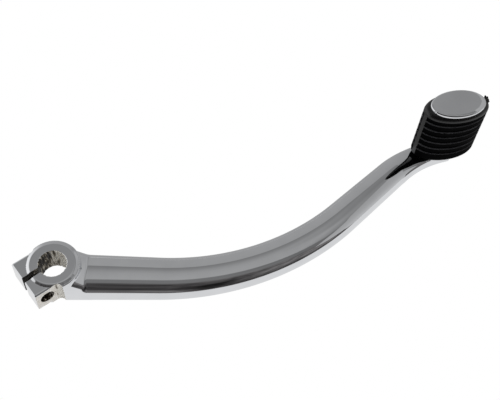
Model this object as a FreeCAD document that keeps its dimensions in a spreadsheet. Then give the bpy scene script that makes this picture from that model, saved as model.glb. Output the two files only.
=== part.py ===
import FreeCAD, Part
import math
import os
import Sketcher

# A scooter kick start lever: a chromed lever with a splined split clamp hub,
# an S-curved arm and a pedal stub, and the ribbed rubber sleeve on the stub.
# Origin on the bore axis at the hub's lower face, +Z along the bore,
# +X from the hub towards the pedal.

os.makedirs("parts", exist_ok=True)
doc = FreeCAD.newDocument("kick_start_lever")

# Driving dimensions, millimetres and degrees
SIZES = {
    "hub_radius": 15.5,
    "hub_height": 17.4,
    "hub_edge": 1.3,
    "boss_radius": 12.9,
    "boss_rise": 0.9,
    "boss_fillet": 0.7,
    "slit_heading": 222.6,
    "slit_aside": -0.9,
    "slit_width": 3.2,
    "ear_reach": 18.4,
    "ear_half_width": 12.8,
    "ear_base": 1.8,
    "ear_edge": 0.8,
    "ear_side_round": 1.9,
    "flat_depth": 0.5,
    "flat_start": 6.0,
    "flat_cutter": 3.0,
    "bolt_radius": 4.2,
    "bolt_reach": 11.6,
    "bolt_height": 9.7,
    "spline_tip_radius": 7.6,
    "spline_root_radius": 8.2,
    "spline_gap_tip": 1.3,
    "spline_gap_root": 0.6,
    "spline_count": 20,
    "arm_offset": -0.54,
    "arm_heading": 4.94,
    "shank_length": 59.2,
    "main_bend_radius": 155.9,
    "main_bend_turn": 44.2,
    "reach_length": 44.6,
    "pedal_bend_radius": 67.3,
    "neck_turn": 4.0,
    "seat_turn": 28.3,
    "arm_lift": 0.4,
    "arm_root_half": 14.0,
    "arm_neck_half": 9.3,
    "arm_tip_half": 5.3,
    "arm_root_thick": 12.6,
    "arm_neck_thick": 9.6,
    "arm_tip_thick": 8.2,
    "arm_root_shoulder": 9.8,
    "arm_neck_shoulder": 6.6,
    "arm_tip_shoulder": 4.2,
    "arm_root_foot": 1.6,
    "arm_neck_foot": 1.5,
    "arm_tip_foot": 1.4,
    "arm_crown": 0.6,
    "tip_ahead": 6.0,
    "seat_height": 10.0,
    "seat_thick": 2.6,
    "seat_major": 15.0,
    "seat_minor": 8.0,
    "core_major": 13.0,
    "core_minor": 6.5,
    "cap_major": 17.1,
    "cap_minor": 9.9,
    "cap_thick": 1.9,
    "cap_edge": 0.9,
    "sleeve_height": 44.0,
    "sleeve_major": 20.2,
    "sleeve_minor": 11.0,
    "sleeve_lip_round": 3.4,
    "sleeve_foot_round": 3.8,
    "sleeve_clearance": 0.1,
    "sleeve_shift": 0.4,
    "foot_rib": 8.9,
    "groove_pitch": 5.6,
    "groove_count": 6,
    "groove_width": 1.9,
    "groove_depth": 1.2,
    "strip_half": 2.6,
    "strip_inset": 0.3,
    "tag_reach": 19.2,
    "tag_aside": 1.7,
    "tag_length": 2.2,
    "tag_width": 3.6,
    "tag_rise": 0.7,
}

sheet = doc.addObject("Spreadsheet::Sheet", "dims")
for row, (alias, number) in enumerate(SIZES.items(), start=1):
    sheet.set(f"A{row}", alias)
    sheet.set(f"B{row}", str(number))
    sheet.setAlias(f"B{row}", alias)
doc.recompute()


def size(alias):
    return float(sheet.get(alias))


# Sketch helpers

def new_body(label):
    body = doc.addObject("PartDesign::Body", label)
    body.Label = label
    return body


def new_sketch(body, name, role, base=(0, 0, 0), axis=(0, 0, 1), angle=0.0):
    sketch = body.newObject("Sketcher::SketchObject", name)
    origin_plane = next(f for f in body.Origin.OriginFeatures if f.Role == role)
    sketch.AttachmentSupport = [(origin_plane, "")]
    sketch.MapMode = "FlatFace"
    rotation = FreeCAD.Rotation(FreeCAD.Vector(*axis), angle)
    sketch.AttachmentOffset = FreeCAD.Placement(FreeCAD.Vector(*base), rotation)
    return sketch


def drive(sketch, kind, references, number, expression):
    index = sketch.addConstraint(Sketcher.Constraint(kind, *references, number))
    sketch.setExpression(f"Constraints[{index}]", expression)


def line(sketch, start, end):
    points = [FreeCAD.Vector(*start, 0), FreeCAD.Vector(*end, 0)]
    return sketch.addGeometry(Part.LineSegment(*points), False)


def arc(sketch, centre, radius, start, end):
    circle = Part.Circle(FreeCAD.Vector(*centre, 0), FreeCAD.Vector(0, 0, 1), radius)
    return sketch.addGeometry(Part.ArcOfCircle(circle, start, end), False)


def add_circle(sketch, alias, reach=None, height=None):
    x = size(reach) if reach else 0.0
    y = size(height) if height else 0.0
    circle = Part.Circle(FreeCAD.Vector(x, y, 0), FreeCAD.Vector(0, 0, 1), size(alias))
    index = sketch.addGeometry(circle, False)
    drive(sketch, "Radius", (index,), size(alias), f"dims.{alias}")
    if reach is None:
        sketch.addConstraint(Sketcher.Constraint("Coincident", index, 3, -1, 1))
        return
    drive(sketch, "DistanceX", (-1, 1, index, 3), x, f"dims.{reach}")
    drive(sketch, "DistanceY", (-1, 1, index, 3), y, f"dims.{height}")


def add_bar(sketch, length, half, length_expression, half_expression, centred=False):
    # Rectangle along the sketch's x axis, from the origin or centred on it
    start = -length / 2 if centred else 0.0
    corners = [(start, -half), (start + length, -half), (start + length, half), (start, half)]
    edges = [line(sketch, corners[i], corners[(i + 1) % 4]) for i in range(4)]
    for i in range(4):
        sketch.addConstraint(Sketcher.Constraint("Coincident", edges[i], 2, edges[(i + 1) % 4], 1))
    sketch.addConstraint(Sketcher.Constraint("Horizontal", edges[2]))
    sketch.addConstraint(Sketcher.Constraint("Vertical", edges[1]))
    sketch.addConstraint(Sketcher.Constraint("Symmetric", edges[3], 1, edges[3], 2, -1))
    if centred:
        sketch.addConstraint(Sketcher.Constraint("Symmetric", edges[0], 1, edges[0], 2, -2))
    else:
        sketch.addConstraint(Sketcher.Constraint("Horizontal", edges[0]))
        sketch.addConstraint(Sketcher.Constraint("PointOnObject", edges[3], 1, -2))
    drive(sketch, "DistanceX", (edges[0], 1, edges[0], 2), length, length_expression)
    drive(sketch, "DistanceY", (edges[1], 1, edges[1], 2), 2 * half, f"2 * ({half_expression})")


def add_ellipse(sketch, major, minor, major_expression, minor_expression):
    zero = FreeCAD.Vector(0, 0, 0)
    oval = Part.Ellipse(FreeCAD.Vector(major, 0, 0), FreeCAD.Vector(0, minor, 0), zero)
    index = sketch.addGeometry(oval, False)
    sketch.exposeInternalGeometry(index)
    long_axis, short_axis = index + 1, index + 2
    sketch.addConstraint(Sketcher.Constraint("Coincident", index, 3, -1, 1))
    sketch.addConstraint(Sketcher.Constraint("Horizontal", long_axis))
    drive(sketch, "Distance", (long_axis,), 2 * major, f"2 * ({major_expression})")
    drive(sketch, "Distance", (short_axis,), 2 * minor, f"2 * ({minor_expression})")


# Feature helpers

def pad(body, name, sketch, length_expression):
    feature = body.newObject("PartDesign::Pad", name)
    feature.Profile = sketch
    feature.setExpression("Length", length_expression)
    doc.recompute()
    return feature


def cut_through(body, name, sketch):
    before = body.Shape.Volume
    feature = body.newObject("PartDesign::Pocket", name)
    feature.Profile = sketch
    feature.SideType = "Symmetric"
    feature.Type = "ThroughAll"
    doc.recompute()
    if body.Shape.Volume >= before:
        raise RuntimeError(f"{name} removes nothing")
    return feature


def round_edges(body, name, wanted, radius_expression):
    base = body.Tip
    chosen = [f"Edge{i}" for i, edge in enumerate(base.Shape.Edges, start=1) if wanted(edge)]
    if not chosen:
        raise RuntimeError(f"{name} finds no edge")
    feature = body.newObject("PartDesign::Fillet", name)
    feature.Base = (base, chosen)
    feature.setExpression("Radius", radius_expression)
    doc.recompute()
    return feature


def flat_at(edge, height):
    box = edge.BoundBox
    return abs(box.ZMin - height) < 1e-4 and abs(box.ZMax - height) < 1e-4


# The arm's centre line runs from the bore axis: shank, main bend, reach and the bend back
# to the neck and on to the pedal's seat, as straight runs and arcs that meet tangent

def walk(point, heading, length):
    return point + FreeCAD.Vector(math.cos(heading), math.sin(heading), 0) * length, heading


def turn(point, heading, radius, angle):
    # A positive angle turns left
    end = heading + angle
    side = math.copysign(radius, angle)
    offset = FreeCAD.Vector(math.sin(end) - math.sin(heading), math.cos(heading) - math.cos(end), 0)
    return point + offset * side, end


ROOT = (FreeCAD.Vector(0, size("arm_offset"), 0), math.radians(size("arm_heading")))
BEND_START = walk(*ROOT, size("shank_length"))
BEND_END = turn(*BEND_START, size("main_bend_radius"), math.radians(size("main_bend_turn")))
REACH_END = walk(*BEND_END, size("reach_length"))
NECK = turn(*REACH_END, size("pedal_bend_radius"), -math.radians(size("neck_turn")))
PEDAL = turn(*NECK, size("pedal_bend_radius"), -math.radians(size("seat_turn")))


def pedal_sketch(body, name, height, ahead=0.0, aside=0.0):
    place = walk(*PEDAL, ahead)
    point = walk(place[0], place[1] + math.pi / 2, aside)[0]
    return new_sketch(body, name, "XY_Plane", (point.x, point.y, height), angle=math.degrees(place[1]))


def sleeve_sketch(body, name, height):
    # The sleeve's outer oval stands a little towards the hub from the stub's axis
    return pedal_sketch(body, name, height, ahead=-size("sleeve_shift"))


# The slit's direction from the bore axis, and the point beside the axis that its mid plane passes
SLIT_TURN = math.radians(size("slit_heading"))
SLIT_POINT = walk(FreeCAD.Vector(0, 0, 0), SLIT_TURN + math.pi / 2, size("slit_aside"))[0]


def hub_sketch(body, name):
    return new_sketch(body, name, "XY_Plane", angle=size("slit_heading"))


def slit_sketch(body, name):
    base = (SLIT_POINT.x, SLIT_POINT.y, 0)
    return new_sketch(body, name, "XY_Plane", base, angle=size("slit_heading"))


# Lever: hub with its boss

def add_hub(body):
    sketch = hub_sketch(body, "hub_outline")
    add_circle(sketch, "hub_radius")
    pad(body, "hub", sketch, "dims.hub_height")
    round_edges(body, "hub_edge_round", lambda e: flat_at(e, size("hub_height")), "dims.hub_edge")
    sketch = hub_sketch(body, "boss_outline")
    add_circle(sketch, "boss_radius")
    pad(body, "boss", sketch, "dims.hub_height + dims.boss_rise")


# Lever: clamp ears either side of the slit

def add_ears(body):
    half = size("ear_half_width") + size("flat_depth")
    tall = size("hub_height") - size("ear_base")
    corner = size("ear_side_round")
    base = (SLIT_POINT.y, size("ear_base"), SLIT_POINT.x)
    heading = size("slit_heading")
    sketch = new_sketch(body, "ears_outline", "YZ_Plane", base, axis=(0, 1, 0), angle=heading)
    edges = [
        line(sketch, (-half, 0), (half, 0)),
        line(sketch, (half, 0), (half, tall - corner)),
        arc(sketch, (half - corner, tall - corner), corner, 0, math.pi / 2),
        line(sketch, (half - corner, tall), (corner - half, tall)),
        arc(sketch, (corner - half, tall - corner), corner, math.pi / 2, math.pi),
        line(sketch, (-half, tall - corner), (-half, 0)),
    ]
    bottom, right, right_corner, top, left_corner, left = edges
    sketch.addConstraint(Sketcher.Constraint("Coincident", bottom, 2, right, 1))
    sketch.addConstraint(Sketcher.Constraint("Coincident", left, 2, bottom, 1))
    for first, second in zip(edges[1:5], edges[2:6]):
        sketch.addConstraint(Sketcher.Constraint("Tangent", first, 2, second, 1))
    sketch.addConstraint(Sketcher.Constraint("Vertical", right))
    sketch.addConstraint(Sketcher.Constraint("Vertical", left))
    sketch.addConstraint(Sketcher.Constraint("Symmetric", bottom, 1, bottom, 2, -1, 1))
    for edge in (right_corner, left_corner):
        drive(sketch, "Radius", (edge,), corner, "dims.ear_side_round")
    drive(sketch, "DistanceX", (bottom, 1, bottom, 2), 2 * half, "2 * (dims.ear_half_width + dims.flat_depth)")
    drive(sketch, "DistanceY", (-1, 1, top, 1), tall, "dims.hub_height - dims.ear_base")
    pad(body, "ears", sketch, "dims.ear_reach")
    round_edges(body, "ear_edge_round", is_ear_end, "dims.ear_edge")
    round_edges(body, "boss_foot_round", is_boss_foot, "dims.boss_fillet")


def is_ear_end(edge):
    reaches = [v.X * math.cos(SLIT_TURN) + v.Y * math.sin(SLIT_TURN) for v in edge.Vertexes]
    at_end = all(abs(reach - size("ear_reach")) < 1e-4 for reach in reaches)
    return at_end and (flat_at(edge, size("hub_height")) or flat_at(edge, size("ear_base")))


def is_boss_foot(edge):
    spots = edge.discretize(7)
    on_boss = all(abs(math.hypot(p.x, p.y) - size("boss_radius")) < 1e-4 for p in spots)
    return on_boss and flat_at(edge, size("hub_height"))


# Lever: crowned arm, swept along its centre line while its section tapers

def arm_section(body, station, place):
    half = size(f"arm_{station}_half")
    thick = size(f"arm_{station}_thick")
    shoulder = size(f"arm_{station}_shoulder")
    foot = size(f"arm_{station}_foot")
    crown = size("arm_crown")
    side = thick - shoulder - crown
    inner = half - shoulder
    crown_radius = (inner**2 + 2 * shoulder * crown + crown**2) / (2 * crown)
    lean = math.atan2(side - thick + crown_radius, inner)
    point, heading = place
    base = (point.y, size("arm_lift"), point.x)
    name = f"{station}_section"
    sketch = new_sketch(body, name, "YZ_Plane", base, axis=(0, 1, 0), angle=math.degrees(heading))
    edges = [
        line(sketch, (foot - half, 0), (half - foot, 0)),
        arc(sketch, (half - foot, foot), foot, -math.pi / 2, 0),
        line(sketch, (half, foot), (half, side)),
        arc(sketch, (inner, side), shoulder, 0, lean),
        arc(sketch, (0, thick - crown_radius), crown_radius, lean, math.pi - lean),
        arc(sketch, (-inner, side), shoulder, math.pi - lean, math.pi),
        line(sketch, (-half, side), (-half, foot)),
        arc(sketch, (foot - half, foot), foot, math.pi, 3 * math.pi / 2),
    ]
    for first, second in zip(edges, edges[1:] + edges[:1]):
        sketch.addConstraint(Sketcher.Constraint("Tangent", first, 2, second, 1))
    bottom, right_foot, right, right_shoulder, top, left_shoulder, left, left_foot = edges
    sketch.addConstraint(Sketcher.Constraint("Vertical", right))
    sketch.addConstraint(Sketcher.Constraint("Vertical", left))
    sketch.addConstraint(Sketcher.Constraint("Symmetric", bottom, 1, bottom, 2, -2))
    sketch.addConstraint(Sketcher.Constraint("PointOnObject", bottom, 1, -1))
    cell = f"dims.arm_{station}_"
    side_cell = f"{cell}thick - {cell}shoulder - dims.arm_crown"
    crown_cell = (
        f"(({cell}half - {cell}shoulder)^2 + 2 * {cell}shoulder * dims.arm_crown + dims.arm_crown^2)"
        " / (2 * dims.arm_crown)"
    )
    for edge in (right_shoulder, left_shoulder):
        drive(sketch, "Radius", (edge,), shoulder, f"{cell}shoulder")
    for edge in (right_foot, left_foot):
        drive(sketch, "Radius", (edge,), foot, f"{cell}foot")
    drive(sketch, "DistanceY", (-1, 1, right, 2), side, side_cell)
    drive(sketch, "DistanceY", (-1, 1, left, 1), side, side_cell)
    drive(sketch, "DistanceX", (left, 1, right, 2), 2 * half, f"2 * {cell}half")
    drive(sketch, "Radius", (top,), crown_radius, crown_cell)
    return sketch


def centre_line(body, name, place, runs):
    # Straight runs and bends from a place on the centre line, in the arm's own plane
    point, heading = place
    base = (point.x, point.y, size("arm_lift"))
    sketch = new_sketch(body, name, "XY_Plane", base, angle=math.degrees(heading))
    here = (FreeCAD.Vector(0, 0, 0), 0.0)
    last = None
    for alias, turn_alias, sign in runs:
        if turn_alias is None:
            ahead = walk(*here, size(alias))
            edge = line(sketch, here[0][:2], ahead[0][:2])
            ends = (1, 2)
            drive(sketch, "Distance", (edge,), size(alias), f"dims.{alias}")
        else:
            angle = math.radians(size(turn_alias))
            ahead = turn(*here, size(alias), sign * angle)
            across = here[1] + sign * math.pi / 2
            centre = here[0] + FreeCAD.Vector(math.cos(across), math.sin(across), 0) * size(alias)
            first = across - math.pi if sign > 0 else across + math.pi - angle
            edge = arc(sketch, centre[:2], size(alias), first, first + angle)
            ends = (1, 2) if sign > 0 else (2, 1)
            drive(sketch, "Radius", (edge,), size(alias), f"dims.{alias}")
            drive(sketch, "Angle", (edge,), angle, f"dims.{turn_alias} * 1 deg")
        if last is None:
            sketch.addConstraint(Sketcher.Constraint("Coincident", edge, ends[0], -1, 1))
            lock_start(sketch, edge, turn_alias)
        else:
            sketch.addConstraint(Sketcher.Constraint("Tangent", last[0], last[1], edge, ends[0]))
        last = (edge, ends[1])
        here = ahead
    return sketch


def lock_start(sketch, edge, turn_alias):
    if turn_alias is None:
        sketch.addConstraint(Sketcher.Constraint("Horizontal", edge))
    else:
        sketch.addConstraint(Sketcher.Constraint("PointOnObject", edge, 3, -2))


def sweep(body, name, profile, spine, section):
    feature = body.newObject("PartDesign::AdditivePipe", name)
    feature.Profile = profile
    feature.Spine = (spine, [f"Edge{i}" for i in range(1, spine.GeometryCount + 1)])
    feature.Sections = [section]
    feature.Transformation = "Multisection"
    feature.Mode = "Binormal"
    feature.Binormal = FreeCAD.Vector(0, 0, 1)
    doc.recompute()
    return feature


def add_arm(body):
    arm_runs = [
        ("shank_length", None, 0),
        ("main_bend_radius", "main_bend_turn", 1),
        ("reach_length", None, 0),
        ("pedal_bend_radius", "neck_turn", -1),
    ]
    tip_runs = [("pedal_bend_radius", "seat_turn", -1), ("tip_ahead", None, 0)]
    root = arm_section(body, "root", ROOT)
    neck = arm_section(body, "neck", NECK)
    tip = arm_section(body, "tip", walk(*PEDAL, size("tip_ahead")))
    sweep(body, "arm", root, centre_line(body, "arm_centre_line", ROOT, arm_runs), neck)
    sweep(body, "arm_tip", neck, centre_line(body, "tip_centre_line", NECK, tip_runs), tip)


# Lever: pedal seat, stub and end cap

def add_pedal(body):
    seat_low = size("seat_height") - size("seat_thick")
    sketch = pedal_sketch(body, "seat_outline", seat_low)
    add_ellipse(sketch, size("seat_major"), size("seat_minor"), "dims.seat_major", "dims.seat_minor")
    pad(body, "seat", sketch, "dims.seat_thick")
    sketch = pedal_sketch(body, "core_outline", seat_low)
    add_ellipse(sketch, size("core_major"), size("core_minor"), "dims.core_major", "dims.core_minor")
    pad(body, "core", sketch, "dims.seat_thick + dims.sleeve_height")
    cap_low = size("seat_height") + size("sleeve_height")
    sketch = pedal_sketch(body, "cap_outline", cap_low)
    add_ellipse(sketch, size("cap_major"), size("cap_minor"), "dims.cap_major", "dims.cap_minor")
    pad(body, "cap", sketch, "dims.cap_thick")
    cap_top = cap_low + size("cap_thick")
    round_edges(body, "cap_edge_round", lambda e: flat_at(e, cap_top), "dims.cap_edge")


# Lever: cuts in the hub

def add_flats(body):
    sketch = slit_sketch(body, "flats_outline")
    start = size("flat_start")
    near = size("ear_half_width")
    cutter = size("flat_cutter")
    end = size("ear_reach") + 2 * cutter
    for sign in (1, -1):
        inner = line(sketch, (start, sign * near), (end, sign * near))
        across = line(sketch, (end, sign * near), (end, sign * (near + 2 * cutter)))
        outer = line(sketch, (end, sign * (near + 2 * cutter)), (start, sign * (near + 2 * cutter)))
        wall = arc(sketch, (start, sign * (near + cutter)), cutter, math.pi / 2, 3 * math.pi / 2)
        first, last = (1, 2) if sign > 0 else (2, 1)
        sketch.addConstraint(Sketcher.Constraint("Coincident", inner, 2, across, 1))
        sketch.addConstraint(Sketcher.Constraint("Coincident", across, 2, outer, 1))
        sketch.addConstraint(Sketcher.Constraint("Tangent", outer, 2, wall, first))
        sketch.addConstraint(Sketcher.Constraint("Tangent", inner, 1, wall, last))
        sketch.addConstraint(Sketcher.Constraint("Horizontal", inner))
        sketch.addConstraint(Sketcher.Constraint("Horizontal", outer))
        sketch.addConstraint(Sketcher.Constraint("Vertical", across))
        drive(sketch, "Radius", (wall,), cutter, "dims.flat_cutter")
        drive(sketch, "DistanceX", (-1, 1, inner, 1), start, "dims.flat_start")
        drive(sketch, "DistanceX", (-1, 1, inner, 2), end, "dims.ear_reach + 2 * dims.flat_cutter")
        ends = (-1, 1, inner, 1) if sign > 0 else (inner, 1, -1, 1)
        drive(sketch, "DistanceY", ends, near, "dims.ear_half_width")
    cut_through(body, "flats", sketch)


def add_bore(body):
    sketch = hub_sketch(body, "bore_outline")
    add_circle(sketch, "spline_tip_radius")
    cut_through(body, "bore", sketch)
    sketch = hub_sketch(body, "spline_gap_outline")
    inner = size("spline_tip_radius") - 2 * (size("spline_root_radius") - size("spline_tip_radius"))
    outer = size("spline_root_radius")
    wide = size("spline_gap_tip") + size("spline_gap_tip") - size("spline_gap_root")
    add_gap(sketch, inner, outer, wide, size("spline_gap_root"))
    gap = cut_through(body, "spline_gap", sketch)
    pattern = body.newObject("PartDesign::PolarPattern", "spline_gaps")
    pattern.Originals = [gap]
    pattern.Axis = (sketch, ["N_Axis"])
    pattern.Angle = 360
    pattern.setExpression("Occurrences", "dims.spline_count")
    body.Tip = pattern
    doc.recompute()


def add_gap(sketch, inner, outer, wide, narrow):
    corners = [(inner, -wide / 2), (outer, -narrow / 2), (outer, narrow / 2), (inner, wide / 2)]
    edges = [line(sketch, corners[i], corners[(i + 1) % 4]) for i in range(4)]
    for i in range(4):
        sketch.addConstraint(Sketcher.Constraint("Coincident", edges[i], 2, edges[(i + 1) % 4], 1))
    sketch.addConstraint(Sketcher.Constraint("Symmetric", edges[1], 1, edges[1], 2, -1))
    sketch.addConstraint(Sketcher.Constraint("Symmetric", edges[3], 1, edges[3], 2, -1))
    drive(sketch, "DistanceX", (-1, 1, edges[1], 1), outer, "dims.spline_root_radius")
    inner_expression = "3 * dims.spline_tip_radius - 2 * dims.spline_root_radius"
    drive(sketch, "DistanceX", (-1, 1, edges[3], 1), inner, inner_expression)
    drive(sketch, "DistanceY", (edges[1], 1, edges[1], 2), narrow, "dims.spline_gap_root")
    wide_expression = "2 * dims.spline_gap_tip - dims.spline_gap_root"
    drive(sketch, "DistanceY", (edges[3], 2, edges[3], 1), wide, wide_expression)


def add_slit(body):
    sketch = slit_sketch(body, "slit_outline")
    length = 2 * size("ear_reach")
    add_bar(sketch, length, size("slit_width") / 2, "2 * dims.ear_reach", "dims.slit_width / 2")
    cut_through(body, "slit", sketch)


def add_bolt_hole(body):
    heading = size("slit_heading")
    sketch = new_sketch(body, "bolt_outline", "XZ_Plane", axis=(0, 1, 0), angle=heading)
    add_circle(sketch, "bolt_radius", "bolt_reach", "bolt_height")
    cut_through(body, "bolt_hole", sketch)


def make_lever():
    body = new_body("kick_lever")
    add_hub(body)
    add_ears(body)
    add_arm(body)
    add_pedal(body)
    add_flats(body)
    add_bore(body)
    add_slit(body)
    add_bolt_hole(body)
    return body


# Rubber sleeve: oval with rounded ends, ring grooves, two end strips, hole for the stub

def add_sleeve_oval(body):
    sketch = sleeve_sketch(body, "sleeve_outline", size("seat_height"))
    add_ellipse(
        sketch, size("sleeve_major"), size("sleeve_minor"), "dims.sleeve_major", "dims.sleeve_minor"
    )
    pad(body, "sleeve", sketch, "dims.sleeve_height")
    low = size("seat_height")
    high = low + size("sleeve_height")
    round_edges(body, "lip_round", lambda e: flat_at(e, high), "dims.sleeve_lip_round")
    round_edges(body, "foot_round", lambda e: flat_at(e, low), "dims.sleeve_foot_round")


def add_grooves(body):
    sketch = sleeve_sketch(body, "groove_outline", size("seat_height") + size("foot_rib"))
    depth = size("groove_depth")
    add_ellipse(
        sketch,
        size("sleeve_major") - depth,
        size("sleeve_minor") - depth,
        "dims.sleeve_major - dims.groove_depth",
        "dims.sleeve_minor - dims.groove_depth",
    )
    reach = 1.2 * size("sleeve_major")
    ring = Part.Circle(FreeCAD.Vector(0, 0, 0), FreeCAD.Vector(0, 0, 1), reach)
    ring_index = sketch.addGeometry(ring, False)
    sketch.addConstraint(Sketcher.Constraint("Coincident", ring_index, 3, -1, 1))
    drive(sketch, "Radius", (ring_index,), reach, "1.2 * dims.sleeve_major")
    before = body.Shape.Volume
    groove = body.newObject("PartDesign::Pocket", "groove")
    groove.Profile = sketch
    groove.Reversed = True
    groove.setExpression("Length", "dims.groove_width")
    doc.recompute()
    if body.Shape.Volume >= before:
        raise RuntimeError("groove removes nothing")
    pattern = body.newObject("PartDesign::LinearPattern", "grooves")
    pattern.Originals = [groove]
    pattern.Direction = (sketch, ["N_Axis"])
    pattern.setExpression("Length", "(dims.groove_count - 1) * dims.groove_pitch")
    pattern.setExpression("Occurrences", "dims.groove_count")
    body.Tip = pattern
    doc.recompute()


def add_strips(body):
    sketch = sleeve_sketch(body, "strip_outline", size("seat_height") + size("sleeve_foot_round"))
    length = 2 * (size("sleeve_major") - size("strip_inset"))
    length_expression = "2 * (dims.sleeve_major - dims.strip_inset)"
    add_bar(sketch, length, size("strip_half"), length_expression, "dims.strip_half", centred=True)
    pad(body, "strips", sketch, "dims.sleeve_height - dims.sleeve_foot_round - dims.sleeve_lip_round")


def add_tag(body):
    # Torn flash left on the lip at the sleeve's outer end
    low = size("seat_height") + size("sleeve_height") - size("sleeve_lip_round")
    ahead = size("tag_reach") - size("sleeve_shift")
    sketch = pedal_sketch(body, "tag_outline", low, ahead, size("tag_aside"))
    length = size("tag_length")
    half = size("tag_width") / 2
    add_bar(sketch, length, half, "dims.tag_length", "dims.tag_width / 2", centred=True)
    pad(body, "tag", sketch, "dims.sleeve_lip_round + dims.tag_rise")


def add_stub_hole(body):
    sketch = pedal_sketch(body, "stub_hole_outline", size("seat_height"))
    gap = size("sleeve_clearance")
    add_ellipse(
        sketch,
        size("core_major") + gap,
        size("core_minor") + gap,
        "dims.core_major + dims.sleeve_clearance",
        "dims.core_minor + dims.sleeve_clearance",
    )
    cut_through(body, "stub_hole", sketch)


def make_sleeve():
    body = new_body("pedal_rubber")
    add_sleeve_oval(body)
    add_grooves(body)
    add_strips(body)
    add_tag(body)
    add_stub_hole(body)
    return body


lever = make_lever()
sleeve = make_sleeve()
doc.recompute()

for item in doc.Objects:
    if "Invalid" in item.State or "Error" in item.State:
        raise RuntimeError(f"{item.Name} failed: {item.State}")
for body in (lever, sleeve):
    if body.Shape.isNull() or not body.Shape.isValid():
        raise RuntimeError(f"{body.Label} has no valid shape")
for body in (lever, sleeve):
    body.Shape.exportStep(f"parts/{body.Label}.step")
    print(body.Label, round(body.Shape.Volume), "mm3", len(body.Shape.Solids), "solid", body.Shape.BoundBox)
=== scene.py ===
import math
from collections import namedtuple

import bpy
import numpy as np
from mathutils import Matrix, Vector


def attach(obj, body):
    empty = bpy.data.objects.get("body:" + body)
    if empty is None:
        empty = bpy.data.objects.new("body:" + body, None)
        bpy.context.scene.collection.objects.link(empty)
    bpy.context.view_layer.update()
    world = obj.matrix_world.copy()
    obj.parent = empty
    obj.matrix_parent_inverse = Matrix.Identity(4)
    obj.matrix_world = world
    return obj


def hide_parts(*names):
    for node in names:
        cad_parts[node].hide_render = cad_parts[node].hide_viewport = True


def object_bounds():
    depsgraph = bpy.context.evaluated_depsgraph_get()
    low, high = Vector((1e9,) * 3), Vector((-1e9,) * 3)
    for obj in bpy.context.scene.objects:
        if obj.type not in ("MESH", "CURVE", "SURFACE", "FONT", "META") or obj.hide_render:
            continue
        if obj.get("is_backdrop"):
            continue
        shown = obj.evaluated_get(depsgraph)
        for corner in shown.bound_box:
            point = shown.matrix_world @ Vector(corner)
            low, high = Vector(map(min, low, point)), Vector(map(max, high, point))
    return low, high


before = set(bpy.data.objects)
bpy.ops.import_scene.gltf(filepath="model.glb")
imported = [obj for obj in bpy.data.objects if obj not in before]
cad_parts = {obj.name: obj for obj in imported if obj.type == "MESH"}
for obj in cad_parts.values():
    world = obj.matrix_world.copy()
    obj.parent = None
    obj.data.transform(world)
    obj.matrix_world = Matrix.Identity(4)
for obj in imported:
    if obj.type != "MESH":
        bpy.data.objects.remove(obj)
cad_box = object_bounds()

# Sizes of the lever and its rubber are in millimetres, and a mesh is scaled to metres when made
MM = 0.001

# Hub, boss and clamp ears
HUB_RADIUS = 15.5
HUB_HEIGHT = 17.4
HUB_EDGE = 0.8
HUB_FOOT_EDGE = 0.5
BOSS_RADIUS = 12.9
BOSS_TOP = 18.3
BOSS_FOOT_RADIUS = 14.7
BOSS_EDGE = 0.25
SLIT_HEADING = math.radians(222.6)
SLIT_ASIDE = -0.9
SLIT_HALF = 1.6
EAR_REACH = 18.4
EAR_HALF = 13.3
EAR_BASE = 1.8
EAR_EDGE = 0.8
EAR_FOOT_EDGE = 0.5
EAR_SIDE_ROUND = 1.9
FLAT_HALF = 12.8
FLAT_START = 6.0
FLAT_CUTTER = 3.0
BOLT_RADIUS = 4.2
BOLT_REACH = 11.6
BOLT_HEIGHT = 9.7
SPLINE_TIP = 7.6
SPLINE_ROOT = 8.2
SPLINE_COUNT = 20
SPLINE_GAP_TIP = 1.3
SPLINE_GAP_ROOT = 0.6
MOUTH_WIDE = 0.6
MOUTH_DEEP = 1.1
CUT_EDGE = 0.18

# Arm: centre line as straight runs (length, 0) and bends (radius, turn), and its section at the
# root, the neck, the seat and the tip
ARM_START = (0.0, -0.54)
ARM_HEADING = math.radians(4.94)
ARM_RUNS = [(59.2, 0.0), (155.9, 44.2), (44.6, 0.0), (67.3, -4.0), (67.3, -28.3), (6.0, 0.0)]
ARM_LIFT = 0.4
ARM_CROWN = (0.6, 0.6, 0.25, 0.25)
ARM_HALF = (14.0, 9.3, 7.3, 5.3)
ARM_THICK = (12.6, 9.6, 8.9, 8.2)
ARM_SHOULDER = (9.8, 6.6, 2.4, 2.2)
ARM_FOOT = (1.6, 1.5, 1.45, 1.4)
ARM_TIP_ROUND = 1.4
ROOT_TOP = 15.2
ROOT_TILT = math.radians(41)
ROOT_ABOVE = 0.3
ROOT_ROUND = 5.0
ROOT_INSET = 0.3
ROOT_FILLET = 0.6

# Pedal: seat, stub, cap and rubber sleeve
SEAT_LOW = 7.4
SEAT_HEIGHT = 10.0
SEAT_OVAL = (15.0, 8.0)
SEAT_EDGE = 0.3
SEAT_FILLET = 1.0
CORE_OVAL = (13.0, 6.5)
CORE_EDGE = 0.2
CORE_INTO_CAP = 0.5
CAP_LOW = 54.0
CAP_TOP = 55.9
CAP_OVAL = (17.1, 9.9)
CAP_EDGE = 0.95
CAP_UNDER_EDGE = 0.3
CAP_FACE_OVAL = (15.5, 9.2)
CAP_FACE_SHIFT = (-1.3, 0.75)
CAP_SLOPE = 0.13
CAP_NICK_START = (-15.9, -3.7, 55.4)
CAP_NICK_END = (-16.9, -4.7, 55.4)
CAP_NICK_RADIUS = 0.6
CAP_NICK_EDGE = 0.1
SLEEVE_OVAL = (20.2, 11.0)
SLEEVE_SHIFT = -0.4
SLEEVE_LIP = 3.4
SLEEVE_FOOT = 3.8
HOLE_OVAL = (13.1, 6.6)
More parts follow.
